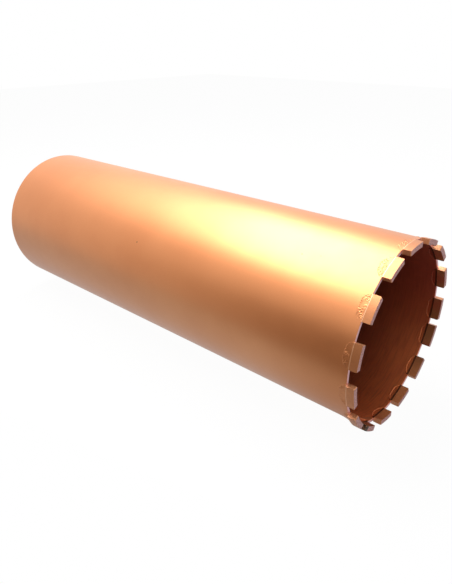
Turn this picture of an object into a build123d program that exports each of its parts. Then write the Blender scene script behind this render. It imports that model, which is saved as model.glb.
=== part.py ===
from build123d import *
import math
import os

# A diamond core bit for wet drilling in concrete. A steel barrel carries diamond segments brazed
# round its mouth. Its rear is closed by a welded plate with a threaded hub for the drill spindle.
# The axis is +Z. The segment tips stand on z = 0 and the hub points up.
# The X axis passes through the place of segment_01, and the segments are counted clockwise
# as seen from the hub.

# Barrel
tube_diameter = 150.0
tube_wall = 2.75
tube_length = 445.0

# Diamond segments
segment_count = 15
segment_length = 20.0
segment_height = 6.5
outer_side_clearance = 1.0
inner_side_clearance = 0.45
segment_tip_round = 0.8

# Segments that were set by hand away from the even pitch, in degrees, and outwards
hand_set_drift = {
    2: 1.5, 4: -2.0, 5: -3.0, 6: -3.0, 9: -1.0, 10: -1.5, 11: -1.5, 12: 3.0, 13: 2.5, 14: 1.0,
}
hand_set_offset = {5: 0.7, 6: 2.1, 7: 1.9}

# Solder under each segment, and the half-moon that ran out of the joint on both sides
solder_joint = 0.15
solder_film = 0.35
solder_fillet = 1.2
solder_run_outside = 6.0
solder_run_inside = 4.5
solder_run_ends = 1.6

# Rear plate, welded a little way down inside the barrel
plate_thickness = 10.0
plate_recess = 4.0
plate_play = 0.1
rear_weld_leg = 3.2

# Hub, turned from bar, with a coarse female thread of 31.75 mm and 7 turns to the inch
hub_diameter = 50.0
hub_length = 38.0
hub_chamfer = 1.2
spigot_diameter = 40.0
spigot_play = 0.05
spigot_reach = 2.0
tapped_bore_diameter = 28.2
thread_major_diameter = 31.75
thread_depth = 32.0
mouth_chamfer = 0.6
water_way_diameter = 20.0
wrench_flats = 41.0
wrench_flat_length = 24.0
hub_weld_leg = 5.0
weld_bulge = 0.62

# Places that follow from the sizes above
tube_radius = tube_diameter / 2
tube_bore_radius = tube_radius - tube_wall
segment_outer_radius = tube_radius + outer_side_clearance
segment_inner_radius = tube_bore_radius - inner_side_clearance
segment_angle = math.degrees(segment_length / segment_outer_radius)
segment_pitch = 360.0 / segment_count
rim_z = segment_height + solder_joint
rear_z = rim_z + tube_length
plate_top_z = rear_z - plate_recess
plate_bottom_z = plate_top_z - plate_thickness
hub_top_z = plate_top_z + hub_length


def segment_place(number):
    return -segment_pitch * (number - 1) + hand_set_drift.get(number, 0.0)


def turned(points):
    # A ring turned about the axis from an outline of radius and height
    outline = make_face(Polyline([(r, 0, z) for r, z in points], close=True))
    return revolve(outline, Axis.Z, 360)


def sector(points, angle):
    # A part ring about the axis, centred on the X axis
    outline = make_face(Polyline([(r, 0, z) for r, z in points], close=True))
    return Rot(0, 0, -angle / 2) * revolve(outline, Axis.Z, angle)


def weld_bead(corner_radius, corner_z, leg, side):
    # A proud fillet bead in the corner between a flat face and a round wall
    bulge = weld_bulge * leg
    return turned([
        (corner_radius, corner_z),
        (corner_radius + side * leg, corner_z),
        (corner_radius + side * bulge, corner_z + bulge),
        (corner_radius, corner_z + leg),
    ])


def barrel_tube():
    return turned([
        (tube_bore_radius, rim_z),
        (tube_radius, rim_z),
        (tube_radius, rear_z),
        (tube_bore_radius, rear_z),
    ])


def diamond_segment():
    block = sector([
        (segment_inner_radius, 0),
        (segment_outer_radius, 0),
        (segment_outer_radius, segment_height),
        (segment_inner_radius, segment_height),
    ], segment_angle)
    tip_corners = block.edges().filter_by(GeomType.LINE).group_by(Axis.Z)[0]
    return fillet(tip_corners, segment_tip_round)


def solder_side(wall_radius, segment_radius, side, run):
    # Half of the joint under the segment, its fillet up to the wall and the film on the wall,
    # whose far edge is an arc
    middle = (tube_radius + tube_bore_radius) / 2
    film_radius = wall_radius + side * solder_film
    band = sector([
        (middle, segment_height),
        (segment_radius, segment_height),
        (film_radius, rim_z + solder_fillet),
        (film_radius, rim_z + run),
        (wall_radius, rim_z + run),
        (wall_radius, rim_z),
        (middle, rim_z),
    ], segment_angle)
    half = 1.1 * segment_length / 2
    shoulder = rim_z + solder_run_ends
    left = (0, -half, shoulder)
    right = (0, half, shoulder)
    crown = (0, 0, rim_z + run)
    corners = Polyline([left, (0, -half, 0), (0, half, 0), right])
    moon = make_face(corners + ThreePointArc(right, crown, left))
    return band & extrude(moon, amount=2 * tube_radius, dir=(1, 0, 0))


def segment_solder(offset):
    # A segment that sits far out bares the rim's inner edge, and the solder still covers it
    outer_edge = segment_outer_radius + offset
    inner_edge = min(segment_inner_radius + offset, tube_bore_radius)
    outside = solder_side(tube_radius, outer_edge, 1, solder_run_outside)
    inside = solder_side(tube_bore_radius, inner_edge, -1, solder_run_inside)
    return outside + inside


def rear_plate():
    rim = tube_bore_radius - plate_play
    bore = spigot_diameter / 2 + spigot_play
    return turned([
        (bore, plate_bottom_z),
        (rim, plate_bottom_z),
        (rim, plate_top_z),
        (bore, plate_top_z),
    ])


def hub():
    outer = hub_diameter / 2
    spigot = spigot_diameter / 2
    bore = tapped_bore_diameter / 2
    mouth = thread_major_diameter / 2 + mouth_chamfer
    water_way = water_way_diameter / 2
    thread_end_z = hub_top_z - thread_depth
    spigot_end_z = plate_bottom_z - spigot_reach
    body = turned([
        (water_way, spigot_end_z),
        (spigot, spigot_end_z),
        (spigot, plate_top_z),
        (outer, plate_top_z),
        (outer, hub_top_z - hub_chamfer),
        (outer - hub_chamfer, hub_top_z),
        (mouth, hub_top_z),
        (bore, hub_top_z - (mouth - bore)),
        (bore, thread_end_z),
        (water_way, thread_end_z),
    ])
    for side in (-1, 1):
        flat = Box(hub_diameter, hub_diameter, wrench_flat_length)
        place = (side * (wrench_flats + hub_diameter) / 2, 0, hub_top_z - wrench_flat_length / 2)
        body -= Pos(*place) * flat
    return body


def save(name, solid):
    solid.label = name
    export_step(solid, f"parts/{name}.step")


os.makedirs("parts", exist_ok=True)

save("barrel_tube", barrel_tube())
save("rear_plate", rear_plate())
save("rear_weld", weld_bead(tube_bore_radius, plate_top_z, rear_weld_leg, -1))
save("hub", hub())
save("hub_weld", weld_bead(hub_diameter / 2, plate_top_z, hub_weld_leg, 1))

segment = diamond_segment()
for number in range(1, segment_count + 1):
    turn = Rot(0, 0, segment_place(number))
    offset = hand_set_offset.get(number, 0.0)
    save(f"segment_{number:02d}", turn * Pos(offset, 0, 0) * segment)
    save(f"solder_{number:02d}", turn * segment_solder(offset))
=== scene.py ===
import math
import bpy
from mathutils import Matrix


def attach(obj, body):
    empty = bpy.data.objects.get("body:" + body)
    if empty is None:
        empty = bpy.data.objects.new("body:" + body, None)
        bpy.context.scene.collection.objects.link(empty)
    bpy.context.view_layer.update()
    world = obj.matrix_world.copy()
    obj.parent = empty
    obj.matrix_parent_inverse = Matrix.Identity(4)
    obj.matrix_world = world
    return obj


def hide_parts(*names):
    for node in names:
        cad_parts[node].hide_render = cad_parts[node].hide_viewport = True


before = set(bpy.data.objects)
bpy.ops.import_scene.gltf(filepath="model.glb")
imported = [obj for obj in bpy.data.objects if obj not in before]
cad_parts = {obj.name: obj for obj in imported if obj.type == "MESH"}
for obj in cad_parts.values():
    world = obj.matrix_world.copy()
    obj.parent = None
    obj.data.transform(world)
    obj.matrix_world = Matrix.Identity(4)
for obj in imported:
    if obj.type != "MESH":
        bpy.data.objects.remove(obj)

from types import SimpleNamespace

import bmesh
import bpy
from bpy.props import FloatProperty, FloatVectorProperty, IntProperty, PointerProperty
from mathutils import Matrix, Vector, noise

bl_info = {
    "name": "Diamond Core Bit",
    "version": (1, 0, 0),
    "blender": (4, 5, 0),
    "location": "3D View > Sidebar > Core Bit",
    "description": "Dresses a wet core bit: painted barrel, brazed segments, welded rear, threaded hub",
    "category": "Object",
}

TAU = 2 * math.pi
MM = 0.001
SAME_PLACE = 0.01 * MM
WHITE = (1.0, 1.0, 1.0, 1.0)
PALE = (0.86, 0.86, 0.86, 1.0)
GLOSS_GAP = 0.3 * MM
FLOOR_WHITE = 0.97

# How finely the turned pieces are divided: steps round the axis and the longest run of an outline
BARREL_STEPS = 360
HUB_STEPS = 256
BARREL_RUN = 12 * MM
FLARED_RUN = 2 * MM
HUB_RUN = 4 * MM

# Squares of the solder that ran out, across and along
OUTSIDE_GRID = (100, 32)
INSIDE_GRID = (80, 28)

# The solder that ran out: how far it runs at least, how wide its border rises, and where its raised
# border lies and how wide it is
LEAST_RUN = 0.3 * MM
BORDER_RISE = 0.2 * MM
BEAD_INSET = 0.35 * MM
BEAD_WIDTH = 0.25 * MM

# How deep hidden faces lie in their neighbours: the solder's back, its cut-off border, the joint layer
# and the thread
SOLDER_BACK = 0.1 * MM
SUNK_BORDER = 0.03 * MM
JOINT_OVERLAP = 0.02 * MM
THREAD_OVERLAP = 0.1 * MM

# Drops of a weld bead: how far in they lie and their radius as shares of the bead's height, and their lean
DROP_INSET = 0.28
DROP_RADIUS = 0.62
DROP_LEAN = math.radians(28.0)

# The thread's flanks, and how much of it is left off at both ends together, as shares of the pitch
ROOT_WIDTH = 0.86
CREST_WIDTH = 0.2
THREAD_ENDS = 1.3

SEGMENTS = sorted(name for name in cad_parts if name.startswith("segment_"))
SOLDERS = sorted(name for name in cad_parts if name.startswith("solder_"))


def around(radius, angle, height):
    """The point at a radius from the axis, an angle round it and a height."""
    return radius * math.cos(angle), radius * math.sin(angle), height


def corners_of(name):
    return [v.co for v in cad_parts[name].data.vertices]


def spread(name):
    """How far a CAD node reaches from the axis, along it and round it."""
    corners = corners_of(name)
    radii = [math.hypot(c.x, c.y) for c in corners]
    heights = [c.z for c in corners]
    first = math.atan2(corners[0].y, corners[0].x)
    turns = [(math.atan2(c.y, c.x) - first + math.pi) % TAU - math.pi for c in corners]
    return SimpleNamespace(
        inner=min(radii), outer=max(radii), low=min(heights), high=max(heights),
        turn=first + (min(turns) + max(turns)) / 2, half=(max(turns) - min(turns)) / 2,
    )


def corners_at(name, height):
    """The corners of a CAD node that lie at one height."""
    return [c for c in corners_of(name) if abs(c.z - height) < SAME_PLACE]


def radii_at(name, height):
    return [math.hypot(c.x, c.y) for c in corners_at(name, height)]


BARREL = spread("barrel_tube")
PLATE = spread("rear_plate")
HUB = spread("hub")
BLOCK = spread("segment_01")
PLACES = [spread(name) for name in SEGMENTS]


# Specks of dirt on the barrel: angle round the axis, height and radius
SPECKS = (
    (math.radians(-30.2), 70.1 * MM, 0.5 * MM),
    (math.radians(-28.0), 55.5 * MM, 0.35 * MM),
    (math.radians(-56.2), 233.1 * MM, 0.6 * MM),
)
# Where the seventh segment's end is broken; its shape is whole and dark blotches, partly painted shade,
# stand in for the break: angle, height and radius
BROKEN_ENDS = ((math.radians(-137.0), 2.0 * MM, 5.0 * MM),)


# Sizes and colours that a user would change

def length_setting(name, description, default):
    return FloatProperty(
        name=name, description=description, default=default, unit="LENGTH", precision=5)


def angle_setting(name, description, default):
    return FloatProperty(name=name, description=description, default=default, subtype="ANGLE")


def share_setting(name, description, default):
    return FloatProperty(name=name, description=description, default=default, min=0, max=1)


def place_setting(name, description, default):
    return FloatVectorProperty(
        name=name, description=description, default=default, size=len(default), unit="LENGTH")


def colour_setting(name, description, default):
    return FloatVectorProperty(
        name=name, description=description, default=default, subtype="COLOR", min=0, max=1)


class BitSizes(bpy.types.PropertyGroup):
    rim_round: length_setting("Rim rounding", "Radius worn on the barrel's edges by paint", 0.3 * MM)
    tip_round: length_setting("Tip corner", "Radius of a segment's two corners at its tip", 0.8 * MM)
    segment_edge: length_setting("Segment edge", "Small rounding of a segment's other edges", 0.32 * MM)
    flare_depth: length_setting("Flare depth", "How far up the barrel its rim is bent out", 14.0 * MM)
    flare_spread: angle_setting(
        "Flare spread", "Angle over which a segment that was set outwards bends the rim",
        math.radians(24.0))
    flare_share: share_setting(
        "Flare share", "Share of a segment's outward offset that the rim follows", 0.85)
    grain: length_setting("Diamond grain", "Radius of a diamond grain under the paint", 0.17 * MM)
    grains_on_tips: FloatProperty(
        name="Grains on the tips", description="Diamond grains on each square millimetre of a tip",
        default=0.9)
    grains_on_sides: FloatProperty(
        name="Grains on the sides", description="Diamond grains on each square millimetre of a side",
        default=0.05)
    run_outside: length_setting(
        "Solder run outside", "How far the solder ran back on the barrel's outside", 6.0 * MM)
    run_inside: length_setting(
        "Solder run inside", "How far the solder ran back on the barrel's inside", 4.5 * MM)
    film_outside: length_setting(
        "Film outside", "Thickness of the solder that ran out over the outside", 0.07 * MM)
    film_inside: length_setting(
        "Film inside", "Thickness of the solder that ran out over the inside", 0.35 * MM)
    inside_bead: length_setting(
        "Inside bead", "Height of the raised border of the solder on the inside", 0.25 * MM)
    film_threads: length_setting(
        "Solder threads", "Height of the crooked threads of solder on the outside", 0.23 * MM)
    fillet_length: length_setting(
        "Fillet length", "Length of the solder fillet behind a segment", 0.9 * MM)
    fillet_step: length_setting(
        "Fillet step", "How far the fillet stays below a segment's face", 0.55 * MM)
    ripple: length_setting("Weld ripple", "Distance between two ripples of a weld bead", 2.1 * MM)
    thread_pitch: length_setting(
        "Thread pitch", "Distance between two turns of the hub's thread", 25.4 / 7 * MM)
    thread_major: length_setting(
        "Thread radius", "Radius at the root of the hub's female thread", 15.9 * MM)
    seed: IntProperty(name="Seed", description="Seed of all that is uneven", default=7)


class BitFinish(bpy.types.PropertyGroup):
    copper: colour_setting("Copper", "Metallic paint in plain light", (0.72, 0.28, 0.107))
    copper_deep: colour_setting(
        "Deep copper", "Metallic paint where it lies thicker", (0.68, 0.255, 0.094))
    inside: colour_setting("Inside", "Thin dull paint inside the barrel", (0.44, 0.095, 0.05))
    # Painted highlight: a lighter colour on the segments' back edges and end faces
    edge: colour_setting(
        "Painted edge highlight", "Painted highlight along the back edges and ends of the segments", (1.0, 0.55, 0.32))
    # Painted light inside the barrel: lighter near the mouth on one side, fading with depth
    inside_painted_light: colour_setting("Painted light inside", "Painted light inside the mouth", (0.85, 0.24, 0.075))
    painted_light_depth: length_setting("Painted light depth", "How far up the barrel the painted light reaches", 80 * MM)
    painted_light_side: angle_setting(
        "Painted light side", "Side of the inside on which the painted light is strongest", math.radians(172.0))
    ground: colour_setting("Ground face", "Thin paint over the ground tips", (0.64, 0.355, 0.345))
    rim: colour_setting("Rim", "Thin paint over the barrel's sawn end", (0.87, 0.53, 0.54))
    steel: colour_setting("Bare steel", "Unpainted steel in the hub's thread", (0.52, 0.50, 0.48))
    # Real dirt specks, and also painted shade in the solder's creases and on the broken segment end
    dirt_and_painted_shade: colour_setting("Dirt and painted shade", "Specks on the barrel, one broken end and painted shade in the solder's creases", (0.07, 0.035, 0.015))
    roughness: share_setting("Paint roughness", "Roughness of the metallic paint", 0.41)
    segment_metallic: share_setting(
        "Metallic, segments", "Share of metal in the paint over the sintered segments", 0.75)
    inside_metallic: share_setting(
        "Metallic, inside", "Share of metal in the dull paint inside the barrel", 0.8)
    coat: share_setting("Clear coat", "Weight of the clear coat over the paint", 0.4)
    coat_roughness: share_setting("Coat roughness", "Roughness of the clear coat", 0.45)


class StudioSettings(bpy.types.PropertyGroup):
    lying_turn: angle_setting(
        "Lying turn", "Side of the bit that faces up in the picture", math.radians(4.33))
    overhead: FloatProperty(
        name="Overhead light", description="Power of the large light above", default=25.2, unit="POWER")
    overhead_place: place_setting(
        "Overhead place", "Place of the light: in front of the bit, above it and along it",
        (-0.05, 1.10, 0.62))
    overhead_size: place_setting(
        "Overhead size", "Size of the light across the bit and along it", (1.5, 0.618))
    overhead_colour: colour_setting("Overhead colour", "White light", (1.0, 1.0, 1.0))
    surround: FloatProperty(
        name="Surround", description="Strength of the even light from all round", default=0.35)
    floor_reach: length_setting(
        "Floor reach", "How far the floor reaches in front of the bit's mouth", 0.149)
    floor_slant: FloatProperty(
        name="Floor slant", description="How much further its edge lies for each metre along the bit",
        default=0.245)
    # Painted reflection: the floor as the gloss shows it, grey near the mouth as painted shade and bluish
    # further along
    floor_near: colour_setting(
        "Floor, near part", "Colour in the bit's gloss of the floor near the mouth", (0.47, 0.47, 0.47))
    floor_far: colour_setting(
        "Floor, far part", "Colour in the bit's gloss of the floor further along", (0.63, 0.74, 0.83))
    floor_change: place_setting(
        "Floor change", "Where the near part ends and the far part starts", (0.0, 0.14))
    side_distance: length_setting(
        "Side distance", "How far in front the unlit side of the room stands", 1.98)
    side_low: length_setting("Side foot", "Lower edge of the unlit side", -1.9)
    side_high: length_setting("Side top", "Upper edge of the unlit side", 0.58)
    side_dark: colour_setting(
        "Side, dark part", "Colour of the unlit side near the bit's mouth", (0.14, 0.085, 0.038))
    side_pale: colour_setting(
        "Side, pale part", "Colour of the unlit side further along the bit", (0.43, 0.34, 0.235))
    side_change: place_setting(
        "Side change", "Where the dark part ends and the pale part starts", (0.96, 1.225))
    camera_place: place_setting(
        "Camera place", "Where the camera stands", (0.2324, -0.3323, -0.1258))
    camera_aim: place_setting(
        "Camera aim", "Point at the picture's middle", (0.0366, -0.0771, 0.1120))
    lens: FloatProperty(name="Lens", description="Focal length in millimetres", default=32.35)


# Node graphs

class Value:
    """A socket on which arithmetic adds Math nodes."""

    def __init__(self, graph, socket):
        self.graph = graph
        self.socket = socket

    def math(self, operation, *others):
        inputs = dict(enumerate((self,) + others))
        return self.graph.add("ShaderNodeMath", inputs, operation=operation)[0]

    def __add__(self, other):
        return self.math("ADD", other)

    def __mul__(self, other):
        return self.math("MULTIPLY", other)

    def __sub__(self, other):
        return self.math("SUBTRACT", other)

    def __rsub__(self, other):
        return (self * -1.0) + other

    def __truediv__(self, other):
        return self.math("DIVIDE", other)

    def __lt__(self, other):
        return self.math("LESS_THAN", other)

    def __abs__(self):
        return self.math("ABSOLUTE")

    __radd__ = __add__
    __rmul__ = __mul__

    def ramp(self, low, high):
        """0 below low, 1 above high and smooth between them."""
        inputs = {"Value": self, "From Min": low, "From Max": high}
        return self.graph.add("ShaderNodeMapRange", inputs, interpolation_type="SMOOTHSTEP")[0]


class Node:
    """A placed node whose outputs are values, found by name or number."""

    def __init__(self, graph, node):
        self.graph = graph
        self.node = node

    def __getitem__(self, key):
        outputs = self.node.outputs
        if not isinstance(key, int):
            outputs = [s for s in outputs if key in (s.identifier, s.name)]
            key = 0
        return Value(self.graph, outputs[key])


class Graph:
    """A node tree in which every node is placed by one method."""

    def __init__(self, tree):
        self.tree = tree

    def add(self, kind, inputs=None, **settings):
        node = self.tree.nodes.new(kind)
        for key, setting in settings.items():
            setattr(node, key, setting)
        for key, given in (inputs or {}).items():
            self.feed(node, key, given)
        return Node(self, node)

    def feed(self, node, key, given):
        if isinstance(key, int):
            socket = node.inputs[key]
        else:
            exact = [s for s in node.inputs if s.identifier == key]
            socket = (exact or [s for s in node.inputs if s.name == key])[0]
        if isinstance(given, Node):
            given = given[0]
        if isinstance(given, Value):
            self.tree.links.new(given.socket, socket)
        else:
            socket.default_value = given

    def mix(self, factor, first, second):
        """Two colours mixed; a colour may be a link or three numbers."""
        colours = [c if isinstance(c, (Value, Node)) else (*c, 1.0) for c in (first, second)]
        inputs = {"Factor_Float": factor, "A_Color": colours[0], "B_Color": colours[1]}
        return self.add("ShaderNodeMix", inputs, data_type="RGBA")["Result_Color"]

    def parts(self, vector):
        """The three parts of a vector."""
        node = self.add("ShaderNodeSeparateXYZ", {0: vector})
        return [node[i] for i in range(3)]


def material(name):
    """The graph of an empty material, with place, height, radius from the axis and facing."""
    made = bpy.data.materials.new(name)
    made.use_nodes = True
    made.node_tree.nodes.clear()
    graph = Graph(made.node_tree)
    graph.material = made
    graph.place = graph.add("ShaderNodeTexCoord")["Object"]
    x, y, graph.height = graph.parts(graph.place)
    graph.radius = (x * x + y * y).math("SQRT")
    normal = graph.add("ShaderNodeNewGeometry")["True Normal"]
    facing_x, facing_y, graph.facing_z = graph.parts(normal)
    graph.facing_out = (facing_x * x + facing_y * y) / graph.radius
    return graph


def ended(graph, shader):
    graph.add("ShaderNodeOutputMaterial", {"Surface": shader})
    return graph.material


def shade(colour, share):
    """A colour made darker, or lighter where the share is over 1."""
    return [share * c for c in colour]


def uneven(graph, scale, detail=2.0, roughness=0.5, distortion=0.0, place=None):
    """Noise from 0 to 1; the scale is how many of its patches lie on a metre."""
    inputs = {"Vector": place or graph.place, "Scale": scale, "Detail": detail,
              "Roughness": roughness, "Distortion": distortion}
    return graph.add("ShaderNodeTexNoise", inputs)[0]


def bumped(graph, layers):
    """The normal after several bump layers of height, distance and strength."""
    normal = None
    for height, distance, strength in layers:
        inputs = {"Height": height, "Distance": distance, "Strength": strength}
        if normal is not None:
            inputs["Normal"] = normal
        normal = graph.add("ShaderNodeBump", inputs)
    return normal


def front_face(graph):
    """1 where a surface faces away from the hub, as the tips and the rim do."""
    return (graph.facing_z * -1.0).ramp(0.75, 0.95)


def axis_face(graph):
    """1 where a surface faces the axis, as the inner faces do."""
    return (graph.facing_out * -1.0).ramp(0.6, 0.9)


def copper_colour(graph, finish):
    """Copper paint, a little deeper in soft patches, with fine flakes."""
    patches = uneven(graph, 14.0, 3.0)
    base = graph.mix(patches.ramp(0.35, 0.7), finish.copper, finish.copper_deep)
    flakes = graph.add("ShaderNodeTexVoronoi", {"Vector": graph.place, "Scale": 2600.0})
    tint = graph.add("ShaderNodeSeparateColor", {0: flakes["Color"]})[0]
    return graph.mix(tint * 0.16, base, shade(finish.copper, 0.72))


def painted_light_side(graph, finish):
    """1 at the middle of the side that the painted light inside favours, -1 opposite it."""
    inputs = {0: graph.place, 1: around(1.0, finish.painted_light_side, 0.0)}
    side = graph.add("ShaderNodeVectorMath", inputs, operation="DOT_PRODUCT")
    return side["Value"] / BARREL.inner


def inside_colour(graph, finish):
    """Dull paint inside, with painted light near the mouth on one side, painted shade deeper in, and faint
    rings and runs.
    """
    depth = graph.height.ramp(BARREL.low, BARREL.low + finish.painted_light_depth)
    stretched = graph.add("ShaderNodeMapping", {"Vector": graph.place, "Scale": (60.0, 60.0, 900.0)})
    rings = uneven(graph, 1.0, 3.0, place=stretched)
    runs = uneven(graph, 55.0, 4.0, 0.6, 1.5)
    # Painted light and shade: lighter near the mouth on one side, and darker further in, where less light
    # reaches
    thickness_and_painted_light = (1.0 - depth) * painted_light_side(graph, finish).ramp(-0.2, 1.0)
    dull = graph.mix(depth, finish.inside, shade(finish.inside, 0.62))
    dull = graph.mix(thickness_and_painted_light, dull, finish.inside_painted_light)
    dull = graph.mix(rings.ramp(0.35, 0.75) * 0.3, dull, shade(finish.inside, 0.6))
    return graph.mix(runs.ramp(0.4, 0.75) * 0.3, dull, shade(finish.inside, 1.3))


def paint_bump(graph, grain):
    orange_peel = uneven(graph, 420.0, 2.0)
    flow = uneven(graph, 60.0, 1.0)
    fine = uneven(graph, 3200.0, 1.0)
    return [(flow, 0.05 * MM, 0.3), (orange_peel, 0.015 * MM, 0.3), (fine, grain, 0.5)]


def painted(graph, finish, colour, dry, layers, metallic=1.0):
    """Clear-coated metallic paint; dry is 1 where it lies thin, dull and without its coat."""
    rough = (uneven(graph, 120.0, 3.0) - 0.5) * 0.08 + finish.roughness + dry * 0.08
    shader = graph.add("ShaderNodeBsdfPrincipled", {
        "Base Color": colour, "Metallic": metallic, "Roughness": rough,
        "Coat Weight": (1.0 - dry) * finish.coat, "Coat Roughness": finish.coat_roughness,
        "Coat IOR": 1.5, "Normal": bumped(graph, layers)})
    return ended(graph, shader)


def spots(graph, places):
    """1 within a radius of each place."""
    found = 0.0
    for angle, height, radius in places:
        inputs = {0: graph.place, 1: around(BARREL.outer, angle, height)}
        away = graph.add("ShaderNodeVectorMath", inputs, operation="DISTANCE")
        found = (away["Value"] < radius) + found
    return found


def barrel_paint(finish):
    graph = material("barrel paint")
    front = front_face(graph)
    colour = graph.mix(front, copper_colour(graph, finish), finish.rim)
    colour = graph.mix(spots(graph, SPECKS), colour, finish.dirt_and_painted_shade)
    inside = (graph.radius < BARREL.inner + 0.4 * MM) * (1.0 - front)
    # The inside takes the inside colour, which holds painted light and painted shade
    colour = graph.mix(inside, colour, inside_colour(graph, finish))
    dry = front.math("MAXIMUM", inside) * 0.85
    metallic = 1.0 - inside * (1.0 - finish.inside_metallic)
    return painted(graph, finish, colour, dry, paint_bump(graph, 0.008 * MM), metallic)


def segment_paint(finish):
    graph = material("segment paint")
    colour = copper_colour(graph, finish)
    worn = uneven(graph, 700.0, 4.0, 0.6).ramp(0.5, 0.75)
    colour = graph.mix(worn * 0.2 + 0.35, colour, shade(finish.copper_deep, 0.55))
    front, inner = front_face(graph), axis_face(graph)
    patchy = graph.mix(uneven(graph, 40.0, 2.0).ramp(0.35, 0.6), shade(finish.inside, 1.1),
                       shade(finish.copper, 0.62))
    # Painted light: the inner faces are lighter on the side of the inside that the painted light favours
    thickness_and_painted_light = painted_light_side(graph, finish).ramp(0.75, 1.0)
    patchy = graph.mix(thickness_and_painted_light, patchy, shade(finish.copper, 1.25))
    colour = graph.mix(inner * 0.9, colour, patchy)
    # Painted highlight: the back edge of each outer face and the end faces are lighter, for light that
    # these edges catch
    rear_edge = graph.height.ramp(BLOCK.high - 0.8 * MM, BLOCK.high - 0.2 * MM) * (1.0 - inner)
    colour = graph.mix(rear_edge * 0.75, colour, finish.edge)
    ends = (1.0 - abs(graph.facing_out).ramp(0.3, 0.6)) * (1.0 - abs(graph.facing_z).ramp(0.3, 0.6))
    colour = graph.mix(ends * 0.15, colour, finish.edge)
    gritty = uneven(graph, 1100.0, 3.0, 0.7).ramp(0.35, 0.65)
    tip = graph.mix(gritty, shade(finish.ground, 0.6), shade(finish.ground, 1.25))
    colour = graph.mix(front, colour, tip)
    # Dark blotches on the seventh segment's end, partly painted shade, where the real end is broken
    blotches = uneven(graph, 420.0, 3.0).ramp(0.34, 0.44)
    colour = graph.mix(spots(graph, BROKEN_ENDS) * blotches, colour, finish.dirt_and_painted_shade)
    pits = uneven(graph, 1500.0, 4.0, 0.7)
    layers = paint_bump(graph, 0.015 * MM) + [(pits, 0.08 * MM, front * 0.6 + 0.12)]
    metallic = finish.segment_metallic - ends * 0.2
    return painted(graph, finish, colour, front.math("MAXIMUM", inner) * 0.7, layers, metallic)


def solder_paint(finish):
    graph = material("solder paint")
    colour = copper_colour(graph, finish)
    thickness_and_painted_light = uneven(graph, 900.0, 3.0)
    colour = graph.mix(thickness_and_painted_light.ramp(0.4, 0.7) * 0.3, colour, shade(finish.copper_deep, 0.55))
    inside = (graph.radius < (BARREL.inner + BARREL.outer) / 2)
    # Painted shade: the crease at the foot of each segment and the crest of the inside bead are darkened
    crease = 1.0 - graph.height.ramp(BARREL.low + 0.6 * MM, BARREL.low + 1.8 * MM)
    line = 1.0 - graph.height.ramp(BARREL.low + 0.1 * MM, BARREL.low + 0.5 * MM)
    crest = (BARREL.inner - graph.radius).ramp(0.4 * MM, 0.6 * MM)
    dark = crease.math("MAXIMUM", crest * 0.7) * 0.9
    dull = graph.mix(dark, inside_colour(graph, finish), finish.dirt_and_painted_shade)
    # Painted shade: a dark line in the crease where the outside solder meets the segment
    colour = graph.mix(line * 0.6, colour, finish.dirt_and_painted_shade)
    colour = graph.mix(inside, colour, dull)
    return painted(graph, finish, colour, inside * 0.6, paint_bump(graph, 0.015 * MM))


def rear_paint(finish):
    graph = material("rear paint")
    colour = copper_colour(graph, finish)
    rings = (graph.radius * (TAU / (0.9 * MM))).math("SINE")
    corner = graph.radius.ramp(PLATE.outer - 6 * MM, PLATE.outer) * uneven(graph, 120.0, 3.0)
    below = (graph.height < PLATE.low + 0.1 * MM)
    colour = graph.mix(corner * 0.8, colour, shade(finish.copper_deep, 0.45))
    # The plate's face inside the barrel takes the inside colour, with its painted shade
    colour = graph.mix(below, colour, inside_colour(graph, finish))
    layers = [(rings, 0.01 * MM, 0.4)] + paint_bump(graph, 0.01 * MM)
    return painted(graph, finish, colour, below * 0.85, layers)


def hub_paint(finish, sizes):
    graph = material("hub paint")
    colour = copper_colour(graph, finish)
    bore = (graph.radius < sizes.thread_major + 0.6 * MM)
    end_face = graph.height.ramp(HUB.high - 0.05 * MM, HUB.high - 0.01 * MM)
    scuffs = uneven(graph, 160.0, 4.0, 0.65, 0.6).ramp(0.45, 0.62)
    bare = bore.math("MAXIMUM", end_face * scuffs)
    steel = graph.mix(uneven(graph, 300.0, 3.0), finish.steel, shade(finish.steel, 0.6))
    colour = graph.mix(bare, colour, steel)
    turning = (graph.height * (TAU / (0.35 * MM))).math("SINE")
    layers = [(turning * bore, 0.004 * MM, 0.5)] + paint_bump(graph, 0.01 * MM)
    return painted(graph, finish, colour, bare, layers)


# Meshes

def linked(name, data):
    """A new object in the scene, at the origin."""
    made = bpy.data.objects.new(name, data)
    bpy.context.scene.collection.objects.link(made)
    return made


def placed(name, mesh, paint):
    """A finished mesh as an object with one paint."""
    made = linked(name, mesh)
    mesh.materials.clear()
    mesh.materials.append(paint)
    return made


def plain_mesh(name, vertices=((0, 0, 0),), faces=()):
    """A mesh as it is given, or one corner that a geometry tree replaces."""
    made = bpy.data.meshes.new(name)
    made.from_pydata(vertices, [], faces)
    return made


def mesh_of(name, vertices, faces, sharp=40.0):
    """A closed mesh with outward normals, smooth except over sharp edges."""
    work = bmesh.new()
    points = [work.verts.new(v) for v in vertices]
    for face in faces:
        work.faces.new([points[i] for i in face])
    bmesh.ops.remove_doubles(work, verts=work.verts, dist=1e-7)
    bmesh.ops.recalc_face_normals(work, faces=work.faces)
    made = bpy.data.meshes.new(name)
    work.to_mesh(made)
    work.free()
    made.shade_smooth()
    made.set_sharp_from_angle(angle=math.radians(sharp))
    return made


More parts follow.
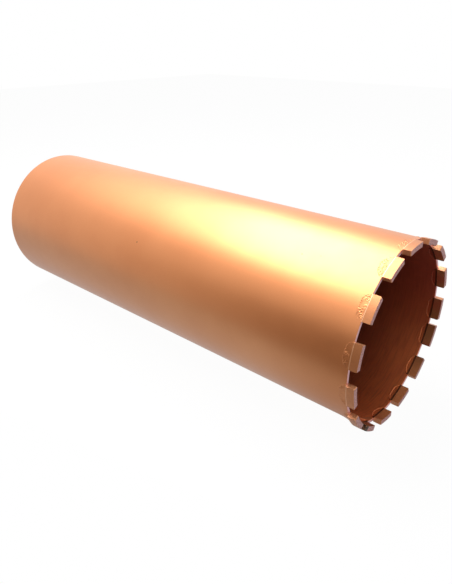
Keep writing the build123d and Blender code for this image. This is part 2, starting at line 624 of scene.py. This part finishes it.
def round_corners(outline, radius, steps=4):
    """A closed outline of radius and height with each corner replaced by a small arc."""
    points = [Vector(p) for p in outline]
    rounded = []
    for before, corner, after in zip(points[-1:] + points[:-1], points, points[1:] + points[:1]):
        one = (before - corner).normalized()
        two = (after - corner).normalized()
        half = one.angle(two) / 2
        reach = radius / math.tan(half)
        centre = corner + (one + two).normalized() * (radius / math.sin(half))
        start = corner + one * reach - centre
        end = corner + two * reach - centre
        rounded.append(corner + one * (2 * reach))
        for step in range(steps + 1):
            bend = start.lerp(end, step / steps).normalized() * radius
            rounded.append(centre + bend)
        rounded.append(corner + two * (2 * reach))
    return rounded


def divided(outline, longest, up_to=math.inf):
    """The same closed outline with its long runs divided, up to a height."""
    result = []
    for start, end in zip(outline, outline[1:] + outline[:1]):
        pieces = 1
        if max(start.y, end.y) <= up_to:
            pieces = max(1, math.ceil((end - start).length / longest))
        result += [start.lerp(end, i / pieces) for i in range(pieces)]
    return result


def turned(name, outline, steps):
    """A closed ring turned about the axis from a closed outline."""
    rows = len(outline)
    vertices = []
    for step in range(steps):
        vertices += [around(r, TAU * step / steps, z) for r, z in outline]
    faces = []
    for step in range(steps):
        here, there = step * rows, (step + 1) % steps * rows
        for row in range(rows):
            below = (row + 1) % rows
            faces.append((here + row, here + below, there + below, there + row))
    return mesh_of(name, vertices, faces)


def rim_flare(sizes, angle, height):
    """How far the rim is bent out at a place, near the segments that were set outwards."""
    left = 1 - (height - BARREL.low) / sizes.flare_depth
    if left <= 0:
        return 0.0
    bend = 0.0
    for piece in PLACES:
        away = abs((angle - piece.turn + math.pi) % TAU - math.pi) / sizes.flare_spread
        if away < 1:
            bend += (piece.outer - BLOCK.outer) * math.cos(away * math.pi / 2) ** 2
    return sizes.flare_share * bend * min(left, 1.0) ** 2


def bend_rim(sizes, mesh):
    for vertex in mesh.vertices:
        x, y, z = vertex.co
        radius = math.hypot(x, y)
        grown = 1 + rim_flare(sizes, math.atan2(y, x), z) / radius
        vertex.co = (x * grown, y * grown, z)
    mesh.update()


def segment_block(sizes):
    """One diamond segment on the X axis: a curved block with rounded tip corners."""
    half_length = BLOCK.half * BLOCK.outer
    corner = sizes.tip_round
    arc = [math.radians(a) for a in range(0, 91, 15)]
    ends = [(half_length - corner + corner * math.sin(a), corner - corner * math.cos(a)) for a in arc]
    parts = 8
    middle = [(half_length - corner) * (i / parts - 1) for i in range(1, 2 * parts)]
    low = [(-s, z) for s, z in reversed(ends)] + [(s, 0.0) for s in middle] + ends
    count = len(low)
    vertices = []
    for radius in (BLOCK.inner, BLOCK.outer):
        for s, z in low:
            angle = s / BLOCK.outer
            for height in (z, BLOCK.high):
                vertices.append(around(radius, angle, height))
    other = 2 * count
    faces = []
    for i in range(count - 1):
        a, b = 2 * i, 2 * i + 2
        faces.append((a, b, b + 1, a + 1))
        faces.append((other + a, other + a + 1, other + b + 1, other + b))
        faces.append((a, other + a, other + b, b))
        faces.append((a + 1, b + 1, other + b + 1, other + a + 1))
    last = 2 * count - 2
    faces.append((0, 1, other + 1, other))
    faces.append((last, other + last, other + last + 1, last + 1))
    return mesh_of("segment block", vertices, faces)


def applied(target):
    """The evaluated object as a plain mesh; the object itself is removed."""
    graph = bpy.context.evaluated_depsgraph_get()
    made = bpy.data.meshes.new_from_object(target.evaluated_get(graph))
    bpy.data.objects.remove(target)
    return made


def geometry_tree(name, sockets):
    """An empty geometry tree with named inputs, and the node that gives their values."""
    tree = bpy.data.node_groups.new(name, "GeometryNodeTree")
    tree.interface.new_socket("Geometry", in_out="INPUT", socket_type="NodeSocketGeometry")
    tree.interface.new_socket("Geometry", in_out="OUTPUT", socket_type="NodeSocketGeometry")
    for label, kind in sockets:
        tree.interface.new_socket(label, in_out="INPUT", socket_type="NodeSocket" + kind)
    graph = Graph(tree)
    return tree, graph, graph.add("NodeGroupInput")


def end_tree(graph, given, geometry):
    """Ends a geometry tree in plain geometry that has its paint."""
    plain = graph.add("GeometryNodeRealizeInstances", {0: geometry})
    painted = graph.add("GeometryNodeSetMaterial", {0: plain, "Material": given["Paint"]})
    graph.add("NodeGroupOutput", {0: painted})


def random_size(graph, given, least, most):
    inputs = {"Min_001": least, "Max_001": most, "Seed": given["Seed"]}
    return graph.add("FunctionNodeRandomValue", inputs, data_type="FLOAT")["Value_001"]


def run_tree(name, base, tree, values):
    """Runs a geometry tree on a base mesh and gives the plain mesh that results."""
    carrier = linked(name, base)
    modifier = carrier.modifiers.new(name, "NODES")
    modifier.node_group = tree
    for item in tree.interface.items_tree:
        if item.in_out == "INPUT" and item.name in values:
            modifier[item.identifier] = values[item.name]
    return applied(carrier)


def segment_ring_tree():
    """Turns one block to every segment's place and strews diamond grains over it."""
    tree, graph, given = geometry_tree("segment ring", [
        ("Block", "Object"), ("Grain radius", "Float"), ("Grains on tips", "Float"),
        ("Grains on sides", "Float"), ("Seed", "Int"), ("Paint", "Material")])
    block = graph.add("GeometryNodeObjectInfo", {"Object": given["Block"]})["Geometry"]
    turn = graph.add("GeometryNodeInputNamedAttribute", {"Name": "turn"}, data_type="FLOAT")
    rotation = graph.add("ShaderNodeCombineXYZ", {"Z": turn})
    ring = graph.add("GeometryNodeInstanceOnPoints", {
        "Points": given["Geometry"], "Instance": block, "Rotation": rotation})
    ring = graph.add("GeometryNodeRealizeInstances", {0: ring})
    tip = graph.parts(graph.add("GeometryNodeInputNormal"))[2] < -0.9
    density = given["Grains on tips"] * tip + given["Grains on sides"] * (1.0 - tip)
    strewn = graph.add("GeometryNodeDistributePointsOnFaces", {
        "Mesh": ring, "Density": density, "Seed": given["Seed"]}, distribute_method="RANDOM")
    grain = graph.add("GeometryNodeMeshIcoSphere", {"Radius": given["Grain radius"], "Subdivisions": 1})
    size = random_size(graph, given, 0.5, 1.1)
    grains = graph.add("GeometryNodeInstanceOnPoints", {
        "Points": strewn["Points"], "Instance": grain,
        "Rotation": strewn["Rotation"], "Scale": size})
    joined = graph.add("GeometryNodeJoinGeometry", {0: ring})
    graph.feed(joined.node, 0, grains)
    end_tree(graph, given, joined)
    return tree


def bead_tree():
    """Lays overlapping drops along a circle, as the ripples of a weld bead."""
    tree, graph, given = geometry_tree("weld bead", [
        ("Ring radius", "Float"), ("Ripples", "Int"), ("Drop radius", "Float"), ("Lean", "Float"),
        ("Seed", "Int"), ("Paint", "Material")])
    ring = graph.add("GeometryNodeCurvePrimitiveCircle", {
        "Resolution": given["Ripples"], "Radius": given["Ring radius"]}, mode="RADIUS")
    points = graph.add("GeometryNodeCurveToPoints", {"Curve": ring}, mode="EVALUATED")
    drop = graph.add("GeometryNodeMeshUVSphere", {
        "Segments": 16, "Rings": 10, "Radius": given["Drop radius"]})
    drop = graph.add("GeometryNodeTransform", {"Geometry": drop, "Scale": (1.0, 1.0, 0.5)})
    drop = graph.add("GeometryNodeSetShadeSmooth", {0: drop})
    lean = graph.add("ShaderNodeCombineXYZ", {"X": given["Lean"]})
    leaning = graph.add("FunctionNodeRotateRotation", {
        "Rotation": points["Rotation"], "Rotate By": lean}, rotation_space="LOCAL")
    size = random_size(graph, given, 0.9, 1.06)
    drops = graph.add("GeometryNodeInstanceOnPoints", {
        "Points": points["Points"], "Instance": drop, "Rotation": leaning, "Scale": size})
    end_tree(graph, given, drops)
    return tree


def thread_tree():
    """Sweeps the flank profile of a thread along a helix."""
    tree, graph, given = geometry_tree("hub thread", [
        ("Radius", "Float"), ("Turns", "Float"), ("Height", "Float"), ("Depth", "Float"),
        ("Root width", "Float"), ("Crest width", "Float"), ("Paint", "Material")])
    helix = graph.add("GeometryNodeCurveSpiral", {
        "Resolution": 96, "Rotations": given["Turns"], "Start Radius": given["Radius"],
        "End Radius": given["Radius"], "Height": given["Height"]})
    helix = graph.add("GeometryNodeSetCurveNormal", {0: helix}, mode="Z_UP")
    profile = graph.add("GeometryNodeCurvePrimitiveQuadrilateral", {
        "Height": given["Depth"], "Bottom Width": given["Root width"],
        "Top Width": given["Crest width"], "Offset": 0.0}, mode="TRAPEZOID")
    quarter = (0.0, 0.0, math.radians(90.0))
    profile = graph.add("GeometryNodeTransform", {"Geometry": profile, "Rotation": quarter})
    swept = graph.add("GeometryNodeCurveToMesh", {
        "Curve": helix, "Profile Curve": profile, "Fill Caps": True})
    flat = graph.add("GeometryNodeSetShadeSmooth", {0: swept, "Shade Smooth": False})
    end_tree(graph, given, flat)
    return tree


def half_moon(share, run, seed):
    """How far the solder ran back, at a share of the segment's half length."""
    rounded = math.sqrt(max(0.0, 1 - abs(share) ** 2.6))
    return run * rounded * (1 + 0.16 * noise.noise(Vector((share * 2.2, seed, 3.7))))


def crooked_threads(place):
    """1 along a few broken crooked lines, 0 beside them; the place is in millimetres."""
    line = 1 - abs(noise.noise(place * 0.6)) / 0.2
    patch = noise.noise(place * 0.2 + Vector((9, 4, 2))) + 0.16
    return max(0.0, line) * min(1.0, max(0.0, patch * 5))


def bead_on_border(border):
    """1 on the raised border of the half-moon, 0 away from it."""
    return math.exp(-((border - BEAD_INSET) / BEAD_WIDTH) ** 2)


def broken_bead(border, place):
    """The same border where it is broken and low."""
    whole = min(1.0, max(0.0, 0.35 + 2.2 * noise.noise(place * 0.7 + Vector((3, 8, 1)))))
    return 0.7 * bead_on_border(border) * whole


def solder_side(sizes, piece, side, across, along, seed):
    """The solder that ran out behind one segment on one side of the wall, as a closed shell."""
    outside = side > 0
    run = sizes.run_outside if outside else sizes.run_inside
    film = sizes.film_outside if outside else sizes.film_inside
    upper, lower = [], []
    for i in range(across + 1):
        share = 2 * i / across - 1
        reach = half_moon(share, run, seed) + LEAST_RUN
        angle = piece.turn + share * piece.half
        ends = min(1.0, (1 - abs(share)) * 14.0)
        for j in range(along + 1):
            back = reach * j / along
            z = BLOCK.high + back
            wall = (BARREL.outer if outside else BARREL.inner) + rim_flare(sizes, angle, z)
            edge = piece.outer if outside else piece.inner
            place = Vector((share * piece.half * piece.outer, back, 0)) / MM
            place += Vector((0, 0, seed * 5.3))
            border = min(reach - back, (1 - abs(share)) * piece.half * piece.outer)
            relief = film + sizes.inside_bead * bead_on_border(border)
            if outside:
                thread = max(crooked_threads(place), broken_bead(border, place))
                relief = film + sizes.film_threads * thread
            relief *= min(1.0, border / BORDER_RISE)
            rise = max(0.0, 1 - back / sizes.fillet_length)
            fillet = max(0.0, side * (edge - wall) - sizes.fillet_step) * rise ** 1.6
            height = max(relief, fillet * ends)
            if border <= 0.0:
                height = -SUNK_BORDER
            for shell, radius in ((upper, wall + side * height), (lower, wall - side * SOLDER_BACK)):
                shell.append(around(radius, angle, z))
    return upper + lower, shell_faces(across, along)


def shell_faces(across, along):
    """The faces of a closed shell of two equal grids of corners, one over the other."""
    rows = along + 1
    total = rows * (across + 1)
    faces = []
    for i in range(across):
        for j in range(along):
            a = i * rows + j
            quad = (a, a + 1, a + rows + 1, a + rows)
            faces.append(quad)
            faces.append(tuple(total + k for k in reversed(quad)))
    border = [i * rows for i in range(across + 1)]
    border += [across * rows + j for j in range(1, rows)]
    border += [i * rows + along for i in range(across - 1, -1, -1)]
    border += [j for j in range(along - 1, 0, -1)]
    for a, b in zip(border, border[1:] + border[:1]):
        faces.append((a, b, total + b, total + a))
    return faces


def joint_layer(piece, steps=12):
    """The thin layer of solder between a segment and the rim."""
    inset = 0.1 * MM
    vertices, faces = [], []
    for i in range(steps + 1):
        angle = piece.turn + piece.half * (2 * i / steps - 1)
        for radius in (max(piece.inner, BARREL.inner) + inset, piece.outer - inset):
            for z in (BLOCK.high - JOINT_OVERLAP, BARREL.low + JOINT_OVERLAP):
                vertices.append(around(radius, angle, z))
    for i in range(steps):
        for p, q in ((0, 1), (1, 3), (3, 2), (2, 0)):
            faces.append((4 * i + p, 4 * i + q, 4 * i + 4 + q, 4 * i + 4 + p))
    last = 4 * steps
    faces.append((0, 2, 3, 1))
    faces.append((last, last + 1, last + 3, last + 2))
    return vertices, faces


def solder_mesh(name, piece, sizes, seed):
    """Both run-outs of one joint and the thin layer between the segment and the rim."""
    vertices, faces = [], []
    shells = (
        solder_side(sizes, piece, 1, *OUTSIDE_GRID, seed),
        solder_side(sizes, piece, -1, *INSIDE_GRID, seed + 50),
        joint_layer(piece),
    )
    for points, quads in shells:
        start = len(vertices)
        vertices += points
        faces += [tuple(start + k for k in quad) for quad in quads]
    return mesh_of(name, vertices, faces, sharp=60.0)


def flatten_for_wrench(mesh, half_width, floor):
    """Presses the upper part of a round hub flat on two sides."""
    for vertex in mesh.vertices:
        if vertex.co.z > floor and abs(vertex.co.x) > half_width:
            vertex.co.x = math.copysign(half_width, vertex.co.x)
    mesh.set_sharp_from_angle(angle=math.radians(25.0))


# Operators, one for each piece or group of like pieces

class COREBIT_OT_barrel(bpy.types.Operator):
    """Make the painted steel barrel"""
    bl_idname = "corebit.barrel"
    bl_label = "Barrel"

    def execute(self, context):
        sizes = context.scene.bit_sizes
        outline = round_corners([
            (BARREL.inner, BARREL.low), (BARREL.outer, BARREL.low),
            (BARREL.outer, BARREL.high), (BARREL.inner, BARREL.high)], sizes.rim_round)
        flared = BARREL.low + 2 * sizes.flare_depth
        outline = divided(divided(outline, BARREL_RUN), FLARED_RUN, flared)
        mesh = turned("barrel", outline, BARREL_STEPS)
        bend_rim(sizes, mesh)
        barrel = placed("barrel", mesh, barrel_paint(context.scene.bit_finish))
        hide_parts("barrel_tube")
        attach(barrel, "root")
        return {"FINISHED"}


class COREBIT_OT_segments(bpy.types.Operator):
    """Make the ring of diamond segments"""
    bl_idname = "corebit.segments"
    bl_label = "Diamond segments"

    def execute(self, context):
        sizes = context.scene.bit_sizes
        paint = segment_paint(context.scene.bit_finish)
        block = placed("segment block", segment_block(sizes), paint)
        bevel = block.modifiers.new("edges", "BEVEL")
        bevel.width = sizes.segment_edge
        bevel.segments = 3
        bevel.limit_method = "ANGLE"
        bevel.angle_limit = math.radians(40.0)
        shifts = [piece.outer - BLOCK.outer for piece in PLACES]
        corners = [around(shift, piece.turn, 0) for shift, piece in zip(shifts, PLACES)]
        places = plain_mesh("segment places", corners)
        turns = places.attributes.new("turn", "FLOAT", "POINT")
        for index, piece in enumerate(PLACES):
            turns.data[index].value = piece.turn
        ring = run_tree("segment ring", places, segment_ring_tree(), {
            "Block": block, "Grain radius": sizes.grain,
            "Grains on tips": sizes.grains_on_tips / MM ** 2,
            "Grains on sides": sizes.grains_on_sides / MM ** 2,
            "Seed": sizes.seed, "Paint": paint})
        bpy.data.objects.remove(block)
        segments = placed("segments", ring, paint)
        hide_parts(*SEGMENTS)
        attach(segments, "root")
        return {"FINISHED"}


class COREBIT_OT_solder(bpy.types.Operator):
    """Make the solder that ran out behind each segment"""
    bl_idname = "corebit.solder"
    bl_label = "Solder"

    def execute(self, context):
        sizes = context.scene.bit_sizes
        paint = solder_paint(context.scene.bit_finish)
        for index, (piece, joint) in enumerate(zip(PLACES, SOLDERS)):
            mesh = solder_mesh(joint + "_run", piece, sizes, sizes.seed + index * 3)
            run = placed(joint + "_run", mesh, paint)
            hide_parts(joint)
            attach(run, "root")
        return {"FINISHED"}


class COREBIT_OT_rear(bpy.types.Operator):
    """Finish the rear plate and make both weld beads"""
    bl_idname = "corebit.rear"
    bl_label = "Rear plate and welds"

    def execute(self, context):
        sizes = context.scene.bit_sizes
        paint = rear_paint(context.scene.bit_finish)
        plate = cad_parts["rear_plate"]
        plate.data.materials.clear()
        plate.data.materials.append(paint)
        tree = bead_tree()
        beads = (("rear_weld", BARREL.inner, -1), ("hub_weld", HUB.outer, 1))
        for index, (name, wall, side) in enumerate(beads):
            bead = spread(name)
            leg = bead.high - bead.low
            inset = DROP_INSET * leg
            ring = wall + side * inset
            values = {"Ring radius": ring, "Ripples": round(TAU * ring / sizes.ripple),
                      "Drop radius": DROP_RADIUS * leg, "Lean": DROP_LEAN,
                      "Seed": sizes.seed + index, "Paint": paint}
            mesh = run_tree(name + "_bead", plain_mesh(name), tree, values)
            mesh.transform(Matrix.Translation((0, 0, PLATE.high + inset)))
            made = placed(name + "_bead", mesh, paint)
            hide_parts(name)
            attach(made, "root")
        return {"FINISHED"}


class COREBIT_OT_hub(bpy.types.Operator):
    """Make the hub with its wrench flats and female thread"""
    bl_idname = "corebit.hub"
    bl_label = "Hub"

    def execute(self, context):
        sizes = context.scene.bit_sizes
        paint = hub_paint(context.scene.bit_finish, sizes)
        major, pitch = sizes.thread_major, sizes.thread_pitch
        corners = corners_of("hub")
        spigot, mouth = max(radii_at("hub", HUB.low)), min(radii_at("hub", HUB.high))
        chamfer = HUB.outer - max(radii_at("hub", HUB.high))
        bore_end = min(c.z for c in corners if c.z > PLATE.high + chamfer)
        bore = max(radii_at("hub", bore_end))
        thread_end = bore_end + pitch
        flat_half = max(abs(c.x) for c in corners_at("hub", HUB.high))
        flat = [c for c in corners if abs(abs(c.x) - flat_half) < SAME_PLACE]
        flat_floor = min(c.z for c in flat if c.z > bore_end + chamfer)
        step = 0.05 * MM
        outline = [Vector(p) for p in (
            (HUB.inner, HUB.low), (spigot, HUB.low), (spigot, PLATE.high), (HUB.outer, PLATE.high),
            (HUB.outer, flat_floor - step), (HUB.outer, flat_floor + step),
            (HUB.outer, HUB.high - chamfer), (HUB.outer - chamfer, HUB.high),
            (mouth, HUB.high), (major, HUB.high - (mouth - major)),
            (major, thread_end + (major - bore)), (bore, thread_end),
            (bore, bore_end), (HUB.inner, bore_end))]
        mesh = turned("hub", divided(outline, HUB_RUN), HUB_STEPS)
        flatten_for_wrench(mesh, flat_half, flat_floor)
        hub = placed("hub_body", mesh, paint)
        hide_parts("hub")
        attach(hub, "root")
        depth = major - bore
        height = HUB.high - thread_end - THREAD_ENDS * pitch
        thread = run_tree("hub_thread", plain_mesh("thread"), thread_tree(), {
            "Radius": bore + depth / 2, "Turns": height / pitch, "Height": height,
            "Depth": depth + THREAD_OVERLAP, "Root width": ROOT_WIDTH * pitch,
            "Crest width": CREST_WIDTH * pitch, "Paint": paint})
        thread.transform(Matrix.Translation((0, 0, thread_end + 0.5 * pitch)))
        turns = placed("hub_thread", thread, paint)
        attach(turns, "root")
        return {"FINISHED"}


class COREBIT_OT_studio(bpy.types.Operator):
    """Set up the pale floor, the soft light, what the gloss mirrors and the camera"""
    bl_idname = "corebit.studio"
    bl_label = "Studio"

    def execute(self, context):
        studio = context.scene.bit_studio
        self.up = Vector(around(1.0, studio.lying_turn, 0))
        self.front = Vector((math.sin(studio.lying_turn), -math.cos(studio.lying_turn), 0))
        self.overhead(studio)
        self.floor(studio)
        self.unlit_side(studio)
        self.world(context, studio)
        self.camera(context, studio)
        context.scene.view_settings.view_transform = "Standard"
        return {"FINISHED"}

    def spot(self, forward, height, along):
        """A point in front of the lying bit, above it and along it."""
        return self.front * forward + self.up * height + Vector((0, 0, along))

    def overhead(self, studio):
        """One large soft light above the bit."""
        lamp = bpy.data.lights.new("overhead light", "AREA")
        lamp.energy = studio.overhead
        lamp.shape = "RECTANGLE"
        lamp.size, lamp.size_y = studio.overhead_size
        lamp.color = studio.overhead_colour
        made = linked("overhead light", lamp)
        made.location = self.spot(*studio.overhead_place)
        middle = Vector((0, 0, BARREL.high / 2))
        made.rotation_mode = "QUATERNION"
        made.rotation_quaternion = (middle - made.location).to_track_quat("-Z", "Y")

    def sheet(self, name, corners, paint, reflected_only=False):
        """A flat piece of the studio; only the gloss shows it where it is reflected only."""
        made = placed(name, plain_mesh(name, corners, [(0, 1, 2, 3)]), paint)
        if reflected_only:
            made.visible_camera = False
            made.visible_shadow = False
            made.visible_diffuse = False

    def seen(self, graph):
        """1 for what the camera sees, also in metal and through glass."""
        path = graph.add("ShaderNodeLightPath")
        shown = path["Is Camera Ray"].math("MAXIMUM", path["Is Glossy Ray"])
        return shown.math("MAXIMUM", path["Is Transmission Ray"])

    def floor(self, studio):
        """A pale floor under the side on which the bit lies, clear from below."""
        graph = material("pale floor")
        pale = graph.add("ShaderNodeBsdfDiffuse", {"Color": PALE})
        white = graph.add("ShaderNodeEmission", {"Color": WHITE, "Strength": 1.0})
        lit = graph.add("ShaderNodeMixShader", {0: self.seen(graph) * FLOOR_WHITE, 1: pale, 2: white})
        clear = graph.add("ShaderNodeBsdfTransparent")
        behind = graph.add("ShaderNodeNewGeometry")["Backfacing"]
        both = graph.add("ShaderNodeMixShader", {0: behind, 1: lit, 2: clear})
        far, right, left = -3.0, -2.0, 3.0

        def edge(along):
            return studio.floor_reach + studio.floor_slant * along

        def corners(level):
            return [self.spot(far, level, right), self.spot(far, level, left),
                    self.spot(edge(left), level, left), self.spot(edge(right), level, right)]

        self.sheet("floor", corners(-BLOCK.outer), ended(graph, both))
        # Painted reflection of the floor on a sheet that only the gloss sees, with painted shade near the
        # mouth
        glow = self.glow("floor in gloss", studio.floor_near, studio.floor_far, studio.floor_change)
        self.sheet("floor in gloss", corners(GLOSS_GAP - BLOCK.outer), glow, reflected_only=True)

    def glow(self, name, near, far, change):
        """A light whose colour changes between two places along the bit."""
        graph = material(name)
        colour = graph.mix(graph.height.ramp(*change), near, far)
        return ended(graph, graph.add("ShaderNodeEmission", {"Color": colour}))

    def unlit_side(self, studio):
        """The unlit side of the room, which only the gloss shows."""
        away, low, high = studio.side_distance, studio.side_low, studio.side_high
        left, right = -1.6, 1.8
        corners = [self.spot(away, low, left), self.spot(away, high, left),
                   self.spot(away, high, right), self.spot(away, low, right)]
        glow = self.glow("unlit side", studio.side_dark, studio.side_pale, studio.side_change)
        self.sheet("unlit side", corners, glow, reflected_only=True)

    def world(self, context, studio):
        world = bpy.data.worlds.new("studio")
        context.scene.world = world
        world.use_nodes = True
        world.node_tree.nodes.clear()
        graph = Graph(world.node_tree)
        even = graph.add("ShaderNodeBackground", {"Color": WHITE, "Strength": studio.surround})
        white = graph.add("ShaderNodeBackground", {"Color": WHITE, "Strength": 1.0})
        both = graph.add("ShaderNodeMixShader", {0: self.seen(graph), 1: even, 2: white})
        graph.add("ShaderNodeOutputWorld", {"Surface": both})

    def camera(self, context, studio):
        """The camera of the picture: near the open end, looking down on the lying bit."""
        data = bpy.data.cameras.new("camera")
        data.sensor_width = 36.0
        data.lens = studio.lens
        data.clip_start = 0.01
        made = linked("camera", data)
        context.scene.camera = made
        place = Vector(studio.camera_place)
        ahead = (Vector(studio.camera_aim) - place).normalized()
        right = ahead.cross(self.up).normalized()
        turn = Matrix((right, right.cross(ahead), -ahead)).transposed()
        made.rotation_mode = "QUATERNION"
        made.rotation_quaternion = turn.to_quaternion()
        made.location = place


OPERATORS = (
    COREBIT_OT_barrel, COREBIT_OT_segments, COREBIT_OT_solder,
    COREBIT_OT_rear, COREBIT_OT_hub, COREBIT_OT_studio,
)


class COREBIT_PT_sidebar(bpy.types.Panel):
    """Lists the bit's pieces with their sizes and colours"""
    bl_idname = "COREBIT_PT_sidebar"
    bl_label = "Core Bit"
    bl_space_type = "VIEW_3D"
    bl_region_type = "UI"
    bl_category = "Core Bit"

    def draw(self, context):
        layout = self.layout
        for group in (context.scene.bit_sizes, context.scene.bit_finish, context.scene.bit_studio):
            for label in group.bl_rna.properties.keys():
                if label not in ("rna_type", "name"):
                    layout.prop(group, label)
        for operator in OPERATORS:
            layout.operator(operator.bl_idname)


CLASSES = (BitSizes, BitFinish, StudioSettings, *OPERATORS, COREBIT_PT_sidebar)


def register():
    for item in CLASSES:
        bpy.utils.register_class(item)
    bpy.types.Scene.bit_sizes = PointerProperty(type=BitSizes)
    bpy.types.Scene.bit_finish = PointerProperty(type=BitFinish)
    bpy.types.Scene.bit_studio = PointerProperty(type=StudioSettings)


def unregister():
    del bpy.types.Scene.bit_studio
    del bpy.types.Scene.bit_finish
    del bpy.types.Scene.bit_sizes
    for item in reversed(CLASSES):
        bpy.utils.unregister_class(item)


def main():
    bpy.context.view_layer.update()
    register()
    bpy.ops.corebit.barrel()
    bpy.ops.corebit.segments()
    bpy.ops.corebit.solder()
    bpy.ops.corebit.rear()
    bpy.ops.corebit.hub()
    bpy.ops.corebit.studio()
    bpy.context.view_layer.update()


if __name__ == "__main__":
    main()
